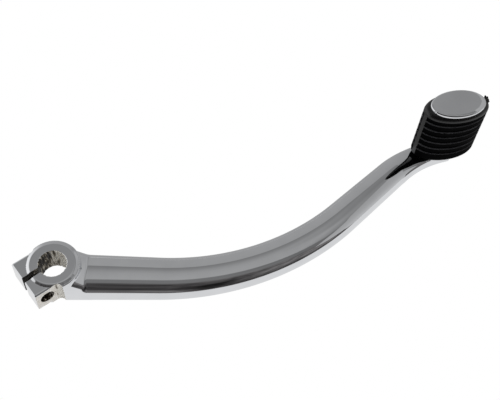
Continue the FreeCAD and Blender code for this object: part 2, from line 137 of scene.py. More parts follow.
GROOVE_FIRST = 19.85
GROOVE_PITCH = 5.6
GROOVE_COUNT = 6
GROOVE_HALF = 0.95
GROOVE_DEPTH = 1.2
GROOVE_ROUND = 0.4
GROOVE_END_ROUND = 0.2
RIB_EDGE = 0.55
STRIP_TURN = math.radians(17.9)
STRIP_SIDE = 4.3
STRIP_HALF = 1.4
STRIP_REACH = 19.35
STRIP_TOP = 51.2
STRIP_EDGE = 0.1

# Torn flash on the sleeve's lip, as thin rods from a root to each ragged end
FLASH_ROOT = (18.4, 1.4, 52.6)
FLASH_ENDS = [
    (19.6, -0.2, 53.4),
    (19.6, 0.9, 53.9),
    (19.5, 2.2, 54.1),
    (18.7, 3.4, 54.05),
    (19.9, 2.9, 53.5),
]
FLASH_RADIUS = 0.62
FLASH_FILLET = 0.3

# Bare metal is what lies deeper than this under the unmachined skin
BARE_DEPTH = 0.14
BOLT_HOLE_SKIN = 0.1

# Rubbed rubber on the faces of the end strips and the lip above the ribs, and a painted highlight
# on the rib edges that slope up at least this much and lie near the outline
STRIP_FACE_SKIN = 0.15
STRIP_FACE_INSET = 0.1
HIGHLIGHT_RISE = 0.3
HIGHLIGHT_DEPTH = 0.75
LIP_LOW = 50.2
LIP_RISE = 0.1

# Smallest divisor, and distances that stand for far away and well inside
TINY = 1e-6
FAR = 1e9
WELL_INSIDE = -50.0


# Distance fields: negative inside a shape, and rounded joins and cuts of two of them

def join(a, b, radius):
    corner = np.hypot(np.maximum(radius - a, 0), np.maximum(radius - b, 0))
    return np.maximum(radius, np.minimum(a, b)) - corner


def meet(a, b, radius):
    corner = np.hypot(np.maximum(radius + a, 0), np.maximum(radius + b, 0))
    return np.minimum(-radius, np.maximum(a, b)) + corner


def cut(a, b, radius):
    return meet(a, -b, radius)


def slab(outline, z, low, high, low_round, high_round):
    return meet(meet(outline, z - high, high_round), low - z, low_round)


def rod(x, y, z, start, end, radius):
    along = [b - a for a, b in zip(start, end)]
    off = [p - a for p, a in zip((x, y, z), start)]
    share = sum(p * d for p, d in zip(off, along)) / sum(d * d for d in along)
    share = np.clip(share, 0, 1)
    return np.sqrt(sum((p - share * d) ** 2 for p, d in zip(off, along))) - radius


def oval(x, y, semi):
    reach = np.hypot(x / semi[0], y / semi[1])
    slope = np.hypot(x / semi[0] ** 2, y / semi[1] ** 2)
    return (reach - 1) * reach / np.maximum(slope, TINY)


# Arm

Run = namedtuple("Run", "x y heading size angle start length")


def arm_path():
    x, y = ARM_START
    heading = ARM_HEADING
    start = 0.0
    runs = []
    for size, turn in ARM_RUNS:
        angle = math.radians(turn)
        length = size if turn == 0 else size * abs(angle)
        runs.append(Run(x, y, heading, size, angle, start, length))
        if turn == 0:
            x += size * math.cos(heading)
            y += size * math.sin(heading)
        else:
            side = math.copysign(size, angle)
            x += side * (math.sin(heading + angle) - math.sin(heading))
            y += side * (math.cos(heading) - math.cos(heading + angle))
            heading += angle
        start += length
    return runs


PATH = arm_path()
NECK_AT = PATH[-2].start
TIP_AT = PATH[-1].start + PATH[-1].length
SEAT_AT = (NECK_AT + TIP_AT) / 2
PEDAL_X, PEDAL_Y, PEDAL_HEADING = PATH[-1][:3]


def along_run(run, x, y):
    # Length along a run from its start, and distance to the left of it
    if run.angle == 0:
        dx, dy = x - run.x, y - run.y
        c, s = math.cos(run.heading), math.sin(run.heading)
        return dx * c + dy * s, dy * c - dx * s
    sign = math.copysign(1, run.angle)
    dx = x - (run.x - sign * run.size * math.sin(run.heading))
    dy = y - (run.y + sign * run.size * math.cos(run.heading))
    turned = sign * (np.arctan2(dy, dx) + sign * math.pi / 2 - run.heading)
    turned = (turned + math.pi) % (2 * math.pi) - math.pi
    return turned * run.size, sign * (run.size - np.hypot(dx, dy))


def along_arm(x, y):
    # Length along the centre line, distance aside of it, and length past its ends
    best = np.full(x.shape, FAR)
    at, aside, past = np.zeros(x.shape), np.zeros(x.shape), np.zeros(x.shape)
    for index, run in enumerate(PATH):
        ahead, off = along_run(run, x, y)
        held = np.clip(ahead, 0, run.length)
        gap = np.hypot(ahead - held, off)
        nearer = gap < best
        best = np.where(nearer, gap, best)
        at = np.where(nearer, run.start + held, at)
        aside = np.where(nearer, off, aside)
        over = np.full(x.shape, WELL_INSIDE)
        if index == 0:
            over = -ahead
        if index == len(PATH) - 1:
            over = ahead - run.length
        past = np.where(nearer, over, past)
    return at, aside, past


def taper(at, values):
    # A size between the sections at the root, the neck, the seat and the tip
    return np.interp(at, (0, NECK_AT, SEAT_AT, TIP_AT), values)


def arm_field(x, y, z):
    # Straight walls, a round shoulder each side, and a crown that meets them tangent
    at, aside, past = along_arm(x, y)
    half = taper(at, ARM_HALF)
    thick = taper(at, ARM_THICK)
    shoulder = taper(at, ARM_SHOULDER)
    foot = taper(at, ARM_FOOT)
    height = z - ARM_LIFT
    across = np.abs(aside)
    bulge = taper(at, ARM_CROWN)
    side = thick - shoulder - bulge
    inner = half - shoulder
    crown = (inner**2 + 2 * shoulder * bulge + bulge**2) / (2 * bulge)
    wall = meet(across - half, -height, foot)
    bend = np.hypot(across - inner, height - side) - shoulder
    top = np.hypot(across, height - thick + crown) - crown
    on_bend = (across - inner) * (side - thick + crown) > (height - side) * inner
    section = np.where(height < side, wall, np.where(on_bend, bend, top))
    return meet(section, past, ARM_TIP_ROUND)


# Hub with its boss and ears

def slit_frame(x, y):
    # Distance out along the slit, and aside of the line from the bore axis
    c, s = math.cos(SLIT_HEADING), math.sin(SLIT_HEADING)
    return x * c + y * s, y * c - x * s


def boss_field(reach, z):
    # A flat top whose edge slopes down to the hub's top face
    wide = BOSS_FOOT_RADIUS - BOSS_RADIUS
    rise = BOSS_TOP - HUB_HEIGHT
    slope = ((reach - BOSS_RADIUS) * rise + (z - BOSS_TOP) * wide) / math.hypot(wide, rise)
    return meet(np.maximum(slope, reach - BOSS_FOOT_RADIUS), z - BOSS_TOP, BOSS_EDGE)


def hub_field(x, y, z):
    reach = np.hypot(x, y)
    hub = slab(reach - HUB_RADIUS, z, 0, HUB_HEIGHT, HUB_FOOT_EDGE, HUB_EDGE)
    ahead, aside = slit_frame(x, y)
    across = np.abs(aside - SLIT_ASIDE)
    ears = slab(across - EAR_HALF, z, EAR_BASE, HUB_HEIGHT, EAR_FOOT_EDGE, EAR_SIDE_ROUND)
    ears = np.maximum(meet(ears, ahead - EAR_REACH, EAR_EDGE), -ahead)
    return np.minimum(np.minimum(hub, ears), boss_field(reach, z))


def flat_field(x, y, z):
    ahead, aside = slit_frame(x, y)
    return np.maximum(FLAT_HALF - np.abs(aside - SLIT_ASIDE), FLAT_START - ahead)


def machined_field(x, y, z):
    # What is cut out of the hub: flats, splined bore, slit and bolt hole
    ahead, aside = slit_frame(x, y)
    across = np.abs(aside - SLIT_ASIDE)
    flat = flat_field(x, y, z)
    cutter = np.hypot(ahead - FLAT_START, across - FLAT_HALF - FLAT_CUTTER) - FLAT_CUTTER
    slit = np.maximum(across - SLIT_HALF, -ahead)
    bolt = np.hypot(ahead - BOLT_REACH, z - BOLT_HEIGHT) - BOLT_RADIUS
    reach = np.hypot(x, y)
    step = 2 * math.pi / SPLINE_COUNT
    angle = np.arctan2(y, x) - SLIT_HEADING
    angle = (angle + step / 2) % step - step / 2
    out, beside = reach * np.cos(angle), np.abs(reach * np.sin(angle))
    share = (out - SPLINE_TIP) / (SPLINE_ROOT - SPLINE_TIP)
    gap_half = (SPLINE_GAP_TIP + (SPLINE_GAP_ROOT - SPLINE_GAP_TIP) * share) / 2
    gap = np.maximum(out - SPLINE_ROOT, beside - gap_half)
    bore = np.minimum(reach - SPLINE_TIP, gap)
    depth = np.minimum(z, BOSS_TOP - z)
    mouth = (reach - SPLINE_TIP - MOUTH_WIDE) * MOUTH_DEEP + depth * MOUTH_WIDE
    mouth = mouth / math.hypot(MOUTH_DEEP, MOUTH_WIDE)
    cuts = np.minimum(np.minimum(flat, cutter), np.minimum(slit, bolt))
    return np.minimum(cuts, np.minimum(bore, mouth))


def root_field(x, y, z):
    # A cone from the hub's edge down to the arm, a little narrower than the arm
    at, aside, _ = along_arm(x, y)
    wall = meet(np.abs(aside) - taper(at, ARM_HALF) + ROOT_INSET, ARM_LIFT - z, ARM_FOOT[0])
    out, rise = np.hypot(x, y) - HUB_RADIUS, z - ROOT_TOP
    cone = out * math.sin(ROOT_TILT) + rise * math.cos(ROOT_TILT)
    return np.maximum(meet(cone, wall, ROOT_ROUND), np.maximum(-x, rise - ROOT_ABOVE))


# Pedal end

def pedal_frame(x, y, shift=0.0):
    # Distance ahead of the pedal's middle, and to the left of it
    c, s = math.cos(PEDAL_HEADING), math.sin(PEDAL_HEADING)
    dx, dy = x - PEDAL_X, y - PEDAL_Y
    return dx * c + dy * s - shift, dy * c - dx * s


def pedal_field(x, y, z):
    ahead, aside = pedal_frame(x, y)
    outline = oval(ahead, aside, CORE_OVAL)
    core = slab(outline, z, SEAT_LOW, CAP_LOW + CORE_INTO_CAP, CORE_EDGE, CORE_EDGE)
    # The cap's flat face ends at a crease, and the rim beyond it slopes down
    face = oval(ahead - CAP_FACE_SHIFT[0], aside - CAP_FACE_SHIFT[1], CAP_FACE_OVAL)
    drop = CAP_SLOPE * np.maximum(face, 0)
    cap = meet(oval(ahead, aside, CAP_OVAL), z - CAP_TOP + drop, CAP_EDGE)
    nick = rod(ahead, aside, z, CAP_NICK_START, CAP_NICK_END, CAP_NICK_RADIUS)
    cap = cut(cap, nick, CAP_NICK_EDGE)
    return np.minimum(core, meet(cap, CAP_LOW - z, CAP_UNDER_EDGE))


def blank_field(x, y, z):
    # The lever before its hub is machined
    outline = oval(*pedal_frame(x, y), SEAT_OVAL)
    seat = slab(outline, z, SEAT_LOW, SEAT_HEIGHT, SEAT_EDGE, SEAT_EDGE)
    lever = join(arm_field(x, y, z), root_field(x, y, z), ROOT_FILLET)
    lever = join(lever, hub_field(x, y, z), ROOT_FILLET)
    lever = np.maximum(join(lever, seat, SEAT_FILLET), -z)
    return np.minimum(lever, pedal_field(x, y, z))


def lever_field(x, y, z):
    return cut(blank_field(x, y, z), machined_field(x, y, z), CUT_EDGE)


def strip_frame(ahead, aside):
    # Distance out to the nearer end strip, and aside of its middle
    c, s = math.cos(STRIP_TURN), math.sin(STRIP_TURN)
    side = np.where(ahead < 0, -1.0, 1.0)
    return side * (ahead * c + aside * s), side * (aside * c - ahead * s) + STRIP_SIDE


def rubber_field(x, y, z):
    ahead, aside = pedal_frame(x, y, SLEEVE_SHIFT)
    outline = oval(ahead, aside, SLEEVE_OVAL)
    body = slab(outline, z, SEAT_HEIGHT, CAP_LOW, SLEEVE_FOOT, SLEEVE_LIP)
    nearest = np.clip(np.round((z - GROOVE_FIRST) / GROOVE_PITCH), 0, GROOVE_COUNT - 1)
    off = np.abs(z - GROOVE_FIRST - nearest * GROOVE_PITCH)
    groove = meet(-outline - GROOVE_DEPTH, off - GROOVE_HALF, GROOVE_ROUND)
    out, beside = strip_frame(ahead, aside)
    strip = np.maximum(np.abs(beside) - STRIP_HALF, -out)
    groove = meet(groove, -strip, GROOVE_END_ROUND)
    body = cut(body, groove, RIB_EDGE)
    flat = np.maximum(np.maximum(strip, STRIP_REACH - out), z - STRIP_TOP)
    body = cut(body, flat, STRIP_EDGE)
    for end in FLASH_ENDS:
        body = join(body, rod(ahead, aside, z, FLASH_ROOT, end, FLASH_RADIUS), FLASH_FILLET)
    return np.maximum(body, -oval(*pedal_frame(x, y), HOLE_OVAL))


# Meshes from the fields: one vertex in each grid cell that the surface crosses, moved onto
# the surface, with the field's own slope as its normal

# The grid is sampled fully only in blocks that may hold some of the surface
BLOCK = 8
BLOCKS_AT_ONCE = 250
NEAR_SHARE = 1.4
NEAR_MARGIN = 0.4
OUTSIDE = 9.0

# Corners of a grid face in turn, and how slightly a filled corner lies inside
CORNERS = ((0, 0), (1, 0), (1, 1), (0, 1))
SLIGHT = 0.0001
SETTLE_ROUNDS = 3

# Moves onto the surface
MOVE_ROUNDS = 3
MOVE_LIMIT = 0.15
LEAST_SLOPE = 0.2
SLOPE_STEP = 0.01


def sample_grid(field, axes):
    # The field at each grid point near the surface, and at the block's middle elsewhere
    shape = tuple(len(a) for a in axes)
    values = np.empty(shape, np.float32)
    starts = [np.arange(0, n - 1, BLOCK) for n in shape]
    near = []
    for i in starts[0]:
        ends = [np.minimum(s + BLOCK, n - 1) for s, n in zip(starts, shape)]
        x0, x1 = axes[0][i], axes[0][min(i + BLOCK, shape[0] - 1)]
        low = np.meshgrid(axes[1][starts[1]], axes[2][starts[2]], indexing="ij")
        high = np.meshgrid(axes[1][ends[1]], axes[2][ends[2]], indexing="ij")
        middle = [(a + b) / 2 for a, b in zip(low, high)]
        reach = np.sqrt((x1 - x0) ** 2 + sum((b - a) ** 2 for a, b in zip(low, high))) / 2
        centre = field(np.full(middle[0].shape, (x0 + x1) / 2), *middle)
        for j, k in np.ndindex(centre.shape):
            y, z = starts[1][j], starts[2][k]
            values[i:i + BLOCK, y:y + BLOCK, z:z + BLOCK] = centre[j, k]
            if abs(centre[j, k]) < NEAR_SHARE * reach[j, k] + NEAR_MARGIN:
                near.append((i, y, z))
    values[-1], values[:, -1], values[:, :, -1] = OUTSIDE, OUTSIDE, OUTSIDE
    offsets = np.meshgrid(*[np.arange(BLOCK + 1)] * 3, indexing="ij")
    offsets = np.stack(offsets, -1).reshape(-1, 3)
    near = np.array(near)
    for part in np.array_split(near, max(1, len(near) // BLOCKS_AT_ONCE)):
        spots = (part[:, None, :] + offsets[None]).reshape(-1, 3)
        spots = np.minimum(spots, np.array(shape) - 1)
        points = [axes[a][spots[:, a]] for a in range(3)]
        values[spots[:, 0], spots[:, 1], spots[:, 2]] = field(*points)
    return values


def crossings(values, axes, axis):
    # Grid edges along an axis that the surface crosses, the points, and which start inside
    low = [slice(None)] * 3
    high = [slice(None)] * 3
    low[axis], high[axis] = slice(0, -1), slice(1, None)
    first, second = values[tuple(low)], values[tuple(high)]
    spots = np.argwhere((first < 0) != (second < 0))
    a = first[tuple(spots.T)].astype(float)
    b = second[tuple(spots.T)].astype(float)
    points = np.stack([axes[n][spots[:, n]] for n in range(3)], -1)
    step = axes[axis][spots[:, axis] + 1] - axes[axis][spots[:, axis]]
    points[:, axis] += step * a / (a - b)
    return spots, points, a < 0


def settle(values):
    # Fill one corner of each grid face whose corners alternate, where the skin would touch
    # itself
    for axis in range(3):
        u, v = (axis + 1) % 3, (axis + 2) % 3
        inside = []
        for du, dv in CORNERS:
            part = [slice(None)] * 3
            part[u] = slice(du, values.shape[u] - 1 + du)
            part[v] = slice(dv, values.shape[v] - 1 + dv)
            inside.append(values[tuple(part)] < 0)
        first, second, third, fourth = inside
        for spot in np.argwhere((first == third) & (second == fourth) & (first != second)):
            corners = []
            for du, dv in CORNERS:
                corner = spot.copy()
                corner[u] += du
                corner[v] += dv
                corners.append(tuple(corner))
            outside = [corner for corner in corners if values[corner] >= 0]
            if len(outside) == 2:
                values[min(outside, key=lambda corner: values[corner])] = -SLIGHT
    return values


def skin(field, axes):
    values = sample_grid(field, axes)
    for _ in range(SETTLE_ROUNDS):
        values = settle(values)
    shape = values.shape
    cells, faces, sums = [], [], []
    for axis in range(3):
        spots, points, inside = crossings(values, axes, axis)
        u, v = (axis + 1) % 3, (axis + 2) % 3
        around = []
        for du, dv in ((1, 1), (0, 1), (0, 0), (1, 0)):
            cell = spots.copy()
            cell[:, u] -= du
            cell[:, v] -= dv
            around.append(np.ravel_multi_index(tuple(cell.T), shape))
        quad = np.stack(around, -1)
        faces.append(np.where(inside[:, None], quad, quad[:, ::-1]))
        cells.append(quad.ravel())
        sums.append(np.repeat(points, 4, axis=0))
    keys, index = np.unique(np.concatenate(cells), return_inverse=True)
    sums = np.concatenate(sums)
    count = np.bincount(index)
    vertices = np.stack([np.bincount(index, sums[:, n]) / count for n in range(3)], -1)
    quads = np.searchsorted(keys, np.concatenate(faces))
    for _ in range(MOVE_ROUNDS):
        distance = field(*vertices.T)
        slope = gradient(field, vertices)
        size = np.maximum((slope**2).sum(-1), LEAST_SLOPE)
        move = -slope * (distance / size)[:, None]
        vertices = vertices + np.clip(move, -MOVE_LIMIT, MOVE_LIMIT)
    normals = gradient(field, vertices)
    normals /= np.maximum(np.linalg.norm(normals, axis=-1), TINY)[:, None]
    return vertices, quads, normals


def gradient(field, points):
    slope = np.empty_like(points)
    for n in range(3):
        ahead, behind = points.copy(), points.copy()
        ahead[:, n] += SLOPE_STEP
        behind[:, n] -= SLOPE_STEP
        slope[:, n] = (field(*ahead.T) - field(*behind.T)) / (2 * SLOPE_STEP)
    return slope


def stops(*ranges):
    # Grid positions with a spacing of its own in each range
    parts = []
    for low, high, spacing in ranges:
        count = max(1, round((high - low) / spacing))
        parts.append(np.linspace(low, high, count, endpoint=False))
    parts.append(np.array([ranges[-1][1]]))
    return np.concatenate(parts)


def add_piece(name, field, axes):
    vertices, quads, normals = skin(field, axes)
    mesh = bpy.data.meshes.new(name)
    mesh.from_pydata((vertices * MM).tolist(), [], quads.tolist())
    mesh.polygons.foreach_set("use_smooth", [True] * len(quads))
    mesh.normals_split_custom_set_from_vertices(normals.tolist())
    piece = bpy.data.objects.new(name, mesh)
    bpy.context.scene.collection.objects.link(piece)
    return piece, vertices[quads].mean(axis=1)


# Grid of each piece: finest at the hub, the cap and the ribs
FINE = 0.3
RUBBER_ASIDE = 0.38
PLAIN = 0.52
WALL = 0.7
COARSE = 1.1
LEVER_AXES = (
    stops((-23.9, 19, FINE), (19, 206, COARSE), (206, 242.5, PLAIN)),
    stops((-22.4, 16, FINE), (16, 101, COARSE), (101, 124.5, PLAIN)),
    stops(
        (-0.7, 1.3, FINE),
        (1.3, 14.2, WALL),
        (14.2, 18.8, FINE),
        (18.8, 53.2, COARSE),
        (53.2, 56.6, FINE),
    ),
)
RUBBER_AXES = (
    stops((202.5, 245, RUBBER_ASIDE)),
    stops((98.5, 125.5, RUBBER_ASIDE)),
    stops((9.2, 55.6, FINE)),
)


# Materials

# Noise lies mostly between these
NOISE_LOW = 0.3
NOISE_HIGH = 0.7

# How much the rubber's roughness varies, and how fast the painted shade deepens towards the slit
ROUGH_SPREAD = 0.06
SLIT_SIDE_SHADE = 18.0


def new_material(name):
    material = bpy.data.materials.new(name)
    material.use_nodes = True
    nodes = material.node_tree.nodes
    return material, nodes, material.node_tree.links, nodes["Principled BSDF"]


def add_noise(nodes, links, scale, detail, stretch=None):
    place = nodes.new("ShaderNodeTexCoord")
    noise = nodes.new("ShaderNodeTexNoise")
    noise.inputs["Scale"].default_value = scale
    noise.inputs["Detail"].default_value = detail
    if stretch is None:
        links.new(place.outputs["Object"], noise.inputs["Vector"])
    else:
        mapping = nodes.new("ShaderNodeMapping")
        mapping.inputs["Rotation"].default_value = (0, 0, stretch[0])
        mapping.inputs["Scale"].default_value = stretch[1]
        links.new(place.outputs["Object"], mapping.inputs["Vector"])
        links.new(mapping.outputs["Vector"], noise.inputs["Vector"])
    return noise.outputs["Fac"]


def add_math(nodes, links, operation, first, second=0.0):
    node = nodes.new("ShaderNodeMath")
    node.operation = operation
    for socket, value in zip(node.inputs, (first, second)):
        if isinstance(value, (int, float)):
            socket.default_value = value
        else:
            links.new(value, socket)
    return node.outputs[0]


def add_range(nodes, links, source, low, high, start=NOISE_LOW, end=NOISE_HIGH):
    span = nodes.new("ShaderNodeMapRange")
    span.inputs["From Min"].default_value = start
    span.inputs["From Max"].default_value = end
    span.inputs["To Min"].default_value = low
    span.inputs["To Max"].default_value = high
    links.new(source, span.inputs["Value"])
    return span.outputs["Result"]


def add_ramp(nodes, links, source, colours):
    ramp = nodes.new("ShaderNodeValToRGB")
    points = ramp.color_ramp.elements
    while len(points) < len(colours):
        points.new(0.5)
    for point, (position, colour) in zip(points, colours):
        point.position = position
        point.color = (*colour, 1)
    links.new(source, ramp.inputs["Fac"])
    return ramp.outputs["Color"]


def add_bump(nodes, links, source, depth, strength, target):
    bump = nodes.new("ShaderNodeBump")
    bump.inputs["Strength"].default_value = strength
    bump.inputs["Distance"].default_value = depth
    links.new(source, bump.inputs["Height"])
    links.new(bump.outputs["Normal"], target)


def chrome_material():
    material, nodes, links, shader = new_material("polished_chrome")
    shader.inputs["Metallic"].default_value = 1.0
    cloud = add_noise(nodes, links, scale=90.0, detail=3.0)
    tints = [(NOISE_LOW, (0.76, 0.77, 0.79)), (NOISE_HIGH, (0.80, 0.81, 0.83))]
    links.new(add_ramp(nodes, links, cloud, tints), shader.inputs["Base Color"])
    haze = add_noise(nodes, links, scale=160.0, detail=4.0)
    links.new(add_range(nodes, links, haze, low=0.015, high=0.05), shader.inputs["Roughness"])
    ripple = add_noise(nodes, links, scale=260.0, detail=1.0)
    add_bump(nodes, links, ripple, depth=0.00004, strength=0.1, target=shader.inputs["Normal"])
    return material


def bare_material():
    material, nodes, links, shader = new_material("bare_machined_metal")
    shader.inputs["Metallic"].default_value = 0.7
    cloud = add_noise(nodes, links, scale=420.0, detail=5.0)
    tints = [(0.28, (0.52, 0.48, 0.41)), (0.42, (0.80, 0.77, 0.71)), (0.7, (0.90, 0.88, 0.85))]
    links.new(add_ramp(nodes, links, cloud, tints), shader.inputs["Base Color"])
    brushing = (SLIT_HEADING, (2.0, 2.0, 60.0))
    lines = add_noise(nodes, links, scale=60.0, detail=2.0, stretch=brushing)
    links.new(add_range(nodes, links, lines, low=0.32, high=0.55), shader.inputs["Roughness"])
    add_bump(nodes, links, lines, depth=0.00008, strength=0.5, target=shader.inputs["Normal"])
    return material


def grime_and_shade_material(name, paler):
    # Rough splines, slit, bolt hole and cutter wall: dark oily streaks on pale cast metal, and
    # painted shade that is darkest by the slit, which lies towards -X
    material, nodes, links, shader = new_material(name)
    shader.inputs["Metallic"].default_value = 0.35
    streaks = add_noise(nodes, links, scale=520.0, detail=5.0, stretch=(0.0, (1.0, 1.0, 0.22)))
    place = nodes.new("ShaderNodeTexCoord")
    parts = nodes.new("ShaderNodeSeparateXYZ")
    links.new(place.outputs["Object"], parts.inputs[0])
    # Painted shade, deepening towards -X where the slit lies
    lean = add_math(nodes, links, "MULTIPLY", parts.outputs["X"], SLIT_SIDE_SHADE)
    lean = add_math(nodes, links, "ADD", lean, paler)
    shade = add_math(nodes, links, "ADD", streaks, lean)
    tints = [
        (0.36, (0.02, 0.016, 0.011)),
        (0.43, (0.12, 0.10, 0.07)),
        (0.47, (0.55, 0.51, 0.44)),
        (0.56, (0.88, 0.86, 0.80)),
    ]
    links.new(add_ramp(nodes, links, shade, tints), shader.inputs["Base Color"])
    links.new(add_range(nodes, links, streaks, low=0.35, high=0.65), shader.inputs["Roughness"])
    add_bump(nodes, links, streaks, depth=0.0003, strength=0.7, target=shader.inputs["Normal"])
    return material


def rubber_material(name, rough, specular, fade=1.0):
    material, nodes, links, shader = new_material(name)
    cloud = add_noise(nodes, links, scale=120.0, detail=4.0)
    tints = [(NOISE_LOW, (0.0012, 0.0012, 0.0014)), (NOISE_HIGH, (0.0026, 0.0026, 0.0028))]
    tints = [(at, tuple(fade * level for level in tint)) for at, tint in tints]
    links.new(add_ramp(nodes, links, cloud, tints), shader.inputs["Base Color"])
    worn = add_range(nodes, links, cloud, rough - ROUGH_SPREAD, rough + ROUGH_SPREAD)
    links.new(worn, shader.inputs["Roughness"])
    shader.inputs["Specular IOR Level"].default_value = specular
    grain = add_noise(nodes, links, scale=1600.0, detail=3.0)
    add_bump(nodes, links, grain, depth=0.00004, strength=0.3, target=shader.inputs["Normal"])
    return material


# Pieces

def rubbed_and_highlit_faces(spots):
    # Material of each face of the sleeve: 0 is matt, 1 the smooth end strips and the lip, and 2
    # the upward edges of the ribs, lighter grey as a painted highlight
    height = spots[:, 2]
    ahead, aside = pedal_frame(spots[:, 0], spots[:, 1], SLEEVE_SHIFT)
    out, beside = strip_frame(ahead, aside)
    strip = (out > STRIP_REACH - STRIP_FACE_SKIN) & (height < STRIP_TOP)
    strip &= np.abs(beside) < STRIP_HALF - STRIP_FACE_INSET
    rise = gradient(rubber_field, spots)[:, 2]
    outer = oval(ahead, aside, SLEEVE_OVAL) > -HIGHLIGHT_DEPTH
    edge = outer & (rise > HIGHLIGHT_RISE) & (height < LIP_LOW)
    lip = (rise > LIP_RISE) & (height > LIP_LOW)
    return np.where(edge, 2, (strip | lip).astype(int))


def machined_faces(spots):
    # Material of each face of the lever: 0 is chrome, 1 the bare flats, 2 the bore, slit and
    # cutter wall with grime and painted shade, and 3 the bolt hole with deeper painted shade
    bare = blank_field(*spots.T) < -BARE_DEPTH
    grime_and_shade = bare & (flat_field(*spots.T) > BARE_DEPTH)
    ahead, _ = slit_frame(spots[:, 0], spots[:, 1])
    bolt = np.hypot(ahead - BOLT_REACH, spots[:, 2] - BOLT_HEIGHT) < BOLT_RADIUS + BOLT_HOLE_SKIN
    bolt &= grime_and_shade & (np.hypot(spots[:, 0], spots[:, 1]) > SPLINE_ROOT)
    return bare.astype(int) + grime_and_shade + bolt


lever, lever_spots = add_piece("kick_lever_chromed", lever_field, LEVER_AXES)
lever.data.materials.append(chrome_material())
lever.data.materials.append(bare_material())
# Grime and painted shade on the bore, slit and cutter wall
lever.data.materials.append(grime_and_shade_material("grime_and_shade_cast_metal", paler=0.02))
# The bolt hole's metal is painted darker, as shade inside the hole
lever.data.materials.append(grime_and_shade_material("bolt_hole_grime_and_deep_shade", paler=-0.1))
lever.data.polygons.foreach_set("material_index", machined_faces(lever_spots).tolist())
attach(lever, "root")
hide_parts("kick_lever")

rubber, rubber_spots = add_piece("pedal_rubber_ribbed", rubber_field, RUBBER_AXES)
rubber.data.materials.append(rubber_material("matt_black_rubber", rough=0.55, specular=0.006))
rubber.data.materials.append(rubber_material("rubbed_black_rubber", rough=0.28, specular=0.55))
# The lighter grey of the upward rib edges is a painted highlight
rubber.data.materials.append(
    rubber_material("rib_highlight_grey_rubber", rough=0.5, specular=0.3, fade=12.0)
)
rubber.data.polygons.foreach_set("material_index", rubbed_and_highlit_faces(rubber_spots).tolist())
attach(rubber, "root")
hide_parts("pedal_rubber")


# Floor, light and camera, with places in metres

FLOOR_LEVEL = -0.0003
FLOOR_HALF = 6.0
NEAR_FLOOR_IN_METAL = 0.80
FAR_FLOOR_IN_METAL = 0.39

# The arm's line on the floor, straight at first and then bent, and the soft edges of the shade
# beyond it
LINE_SLOPE = 0.0864
BEND_START = 0.059
BEND_LENGTH = 0.16
BEND_RATE = 4.05
SHADE_BLUR = 0.004
SHADE_FROM = -0.022
SHADE_FULL = -0.012


def far_side(nodes, links):
    # 1 beyond the arm's centre line, where the floor lies in the lever's shade, and 0 in front
    # of it
    place = nodes.new("ShaderNodeTexCoord")
    parts = nodes.new("ShaderNodeSeparateXYZ")
    links.new(place.outputs["Object"], parts.inputs[0])
    bend = add_math(nodes, links, "SUBTRACT", parts.outputs["X"], BEND_START)
    bend = add_math(nodes, links, "MAXIMUM", bend, 0.0)
    bend = add_math(nodes, links, "MINIMUM", bend, BEND_LENGTH)
    bend = add_math(nodes, links, "POWER", bend, 2.0)
    bend = add_math(nodes, links, "MULTIPLY", bend, BEND_RATE)
    line = add_math(nodes, links, "MULTIPLY", parts.outputs["X"], LINE_SLOPE)
    line = add_math(nodes, links, "ADD", line, bend)
    beyond = add_math(nodes, links, "SUBTRACT", parts.outputs["Y"], line)
    beyond = add_range(nodes, links, beyond, 0.0, 1.0, -SHADE_BLUR, SHADE_BLUR)
    beside = add_range(nodes, links, parts.outputs["X"], 0.0, 1.0, SHADE_FROM, SHADE_FULL)
    return add_math(nodes, links, "MULTIPLY", beyond, beside)


def floor_material():
    # White to the camera, pale to the light, and of its own brightness in the chrome
    material, nodes, links, shader = new_material("pale_floor")
    shader.inputs["Roughness"].default_value = 0.9
    grain = add_noise(nodes, links, scale=40.0, detail=3.0)
    tints = [(NOISE_LOW, (0.80, 0.80, 0.80)), (NOISE_HIGH, (0.84, 0.84, 0.84))]
    links.new(add_ramp(nodes, links, grain, tints), shader.inputs["Base Color"])
    path = nodes.new("ShaderNodeLightPath")
    far = far_side(nodes, links)
    level = add_range(nodes, links, far, NEAR_FLOOR_IN_METAL, FAR_FLOOR_IN_METAL, 0.0, 1.0)
    glossy = add_math(nodes, links, "MULTIPLY", path.outputs["Is Glossy Ray"], level)
    strength = add_math(nodes, links, "MAXIMUM", path.outputs["Is Camera Ray"], glossy)
    white = nodes.new("ShaderNodeEmission")
    links.new(strength, white.inputs["Strength"])
    shown = add_math(nodes, links, "CEIL", strength)
    mix = nodes.new("ShaderNodeMixShader")
    links.new(shown, mix.inputs["Fac"])
    links.new(shader.outputs["BSDF"], mix.inputs[1])
    links.new(white.outputs["Emission"], mix.inputs[2])
    links.new(mix.outputs["Shader"], nodes["Material Output"].inputs["Surface"])
    return material


def add_floor():
    mesh = bpy.data.meshes.new("floor")
    corners = [(-1, -1), (1, -1), (1, 1), (-1, 1)]
    points = [(x * FLOOR_HALF, y * FLOOR_HALF, FLOOR_LEVEL) for x, y in corners]
    mesh.from_pydata(points, [], [(0, 1, 2, 3)])
    floor = bpy.data.objects.new("floor", mesh)
    floor.data.materials.append(floor_material())
    bpy.context.scene.collection.objects.link(floor)
    floor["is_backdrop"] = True


# Studio round the object, a light tent that is open towards the camera. Rise is the angle from the
# far horizon over the top to the near horizon, and turn the angle to the right of that plane.
# The walls end at a rise that depends on turn; above it come the roof and the dark open front.
HALF_TURN = 180
RIGHT_ANGLE = 90
WALL_END = [
    (-90, 180), (-46, 180), (-34, 50), (0, 50), (10, 52), (20, 60), (30, 72), (40, 86), (50, 121),
    (60, 128), (70, 136), (80, 180),
]
WALL_END_BLUR = 0.5

